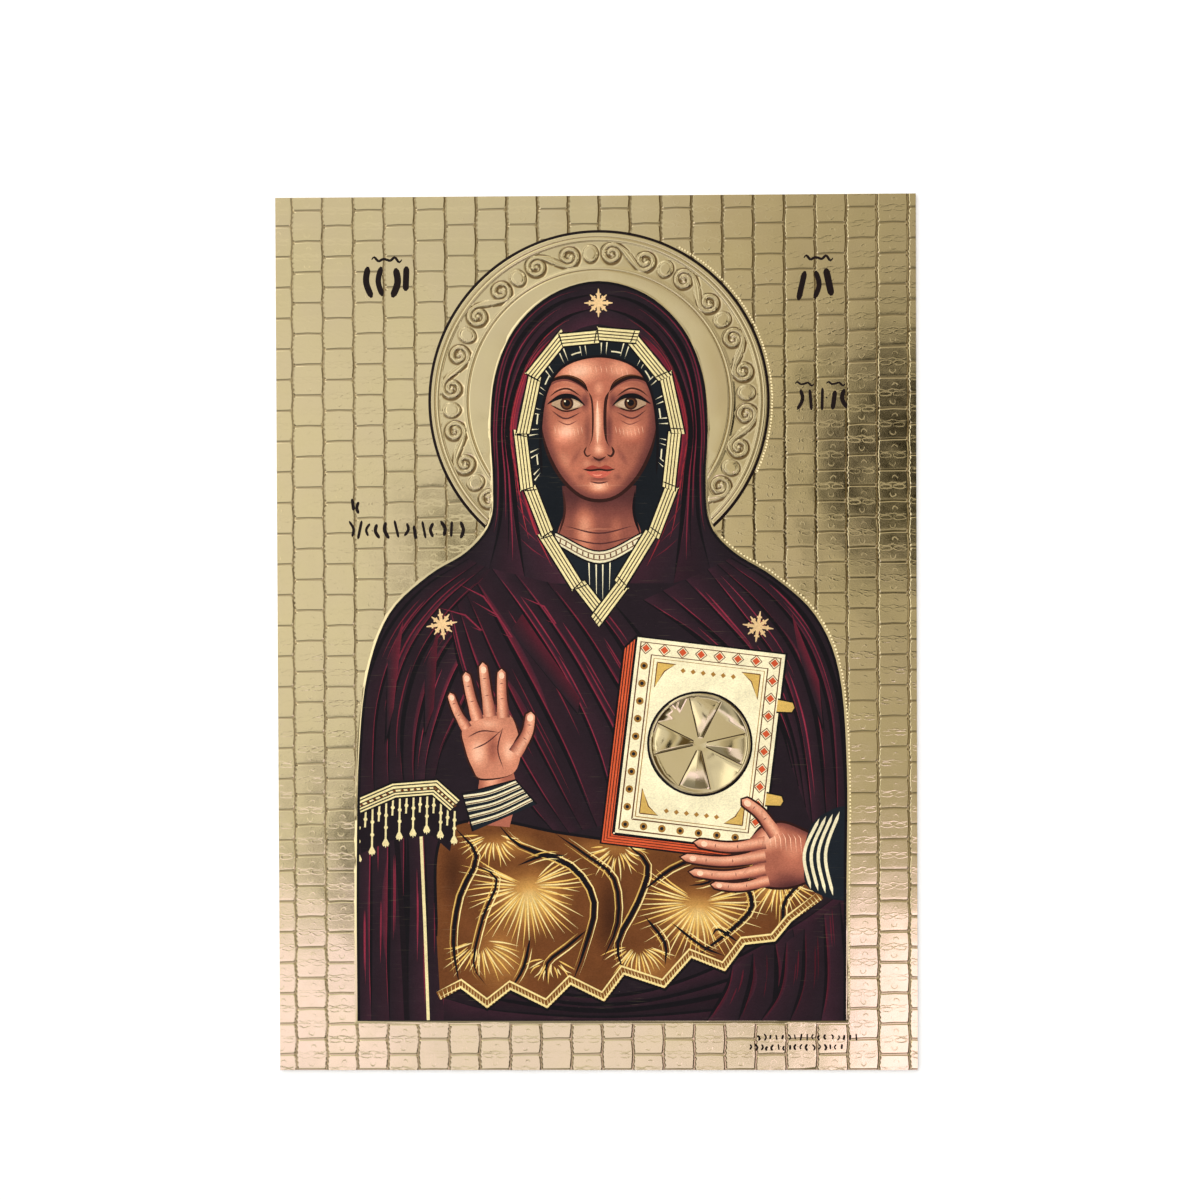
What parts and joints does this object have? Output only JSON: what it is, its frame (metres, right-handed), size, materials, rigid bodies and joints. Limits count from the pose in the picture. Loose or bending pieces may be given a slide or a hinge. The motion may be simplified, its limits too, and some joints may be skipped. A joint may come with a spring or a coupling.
{
  "type": "embossed icon panel",
  "caption": "Stiff rectangular sheet of gold foil on card, embossed with a tile ground, a scrolled halo and a haloed figure, printed in dark and ochre inks.",
  "frame": {"origin": "middle of the sheet's underside, on the surface it lies on", "axes": "+Y towards the top of the picture, +X to the picture's right as seen, +Z out of its face"},
  "size_m": [0.19, 0.26, 0.0016],
  "materials": {
    "gold_foil": "thin pale gold foil, bright, with a fine embossed tile ground",
    "printed_ink": "satin printing inks over the foil: aubergine, crimson, ochre, terracotta and cream, with fine scratches",
    "plain_card": "uncoated off-white card, seen on the back and at the cut edges"
  },
  "bodies": {
    "root": {"embossed_panel": "gold_foil"}
  },
  "joints": []
}
